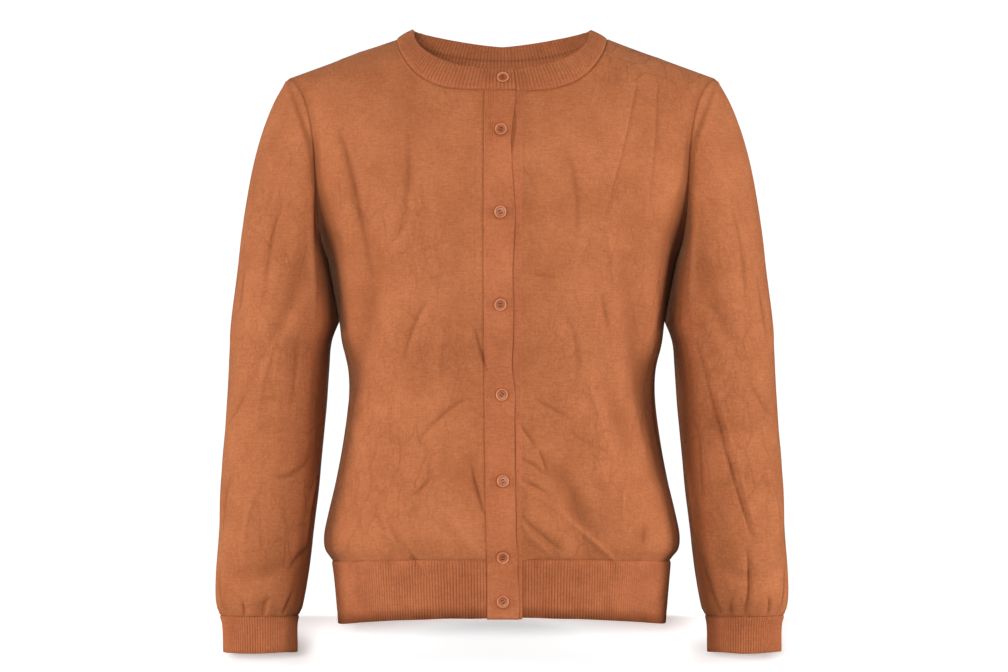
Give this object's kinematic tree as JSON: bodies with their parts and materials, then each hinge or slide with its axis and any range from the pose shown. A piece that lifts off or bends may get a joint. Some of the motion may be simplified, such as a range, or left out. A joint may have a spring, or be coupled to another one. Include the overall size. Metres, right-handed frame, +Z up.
{
  "type": "button cardigan",
  "caption": "Fine-knit crew-neck cardigan with long set-in sleeves, ribbed neck, hem and cuffs and a buttoned front, hollow and filled out as if worn.",
  "frame": {"origin": "midway between the shoulder points, where the wearer's shoulders hold the garment up", "axes": "+Z up, +X to the wearer's left, the buttoned front faces -Y"},
  "size_m": [0.553, 0.2407, 0.6007],
  "materials": {
    "knit": "matte fine plain knit, rust brown, softly mottled",
    "rib": "matte one-by-one rib knit, rust brown",
    "band": "matte folded plain knit band, rust brown",
    "button": "glossy, pinkish tan"
  },
  "bodies": {
    "root": {"front_right": "knit", "front_left": "knit", "back": "knit", "sleeve_right": "knit", "sleeve_left": "knit", "neckband": "rib", "hem_front_right": "rib", "hem_front_left": "rib", "hem_back": "rib", "cuff_right": "rib", "cuff_left": "rib", "placket_right": "band", "placket_left": "band", "button_1": "button", "button_2": "button", "button_3": "button", "button_4": "button", "button_5": "button", "button_6": "button", "button_7": "button", "button_8": "button"}
  },
  "joints": []
}
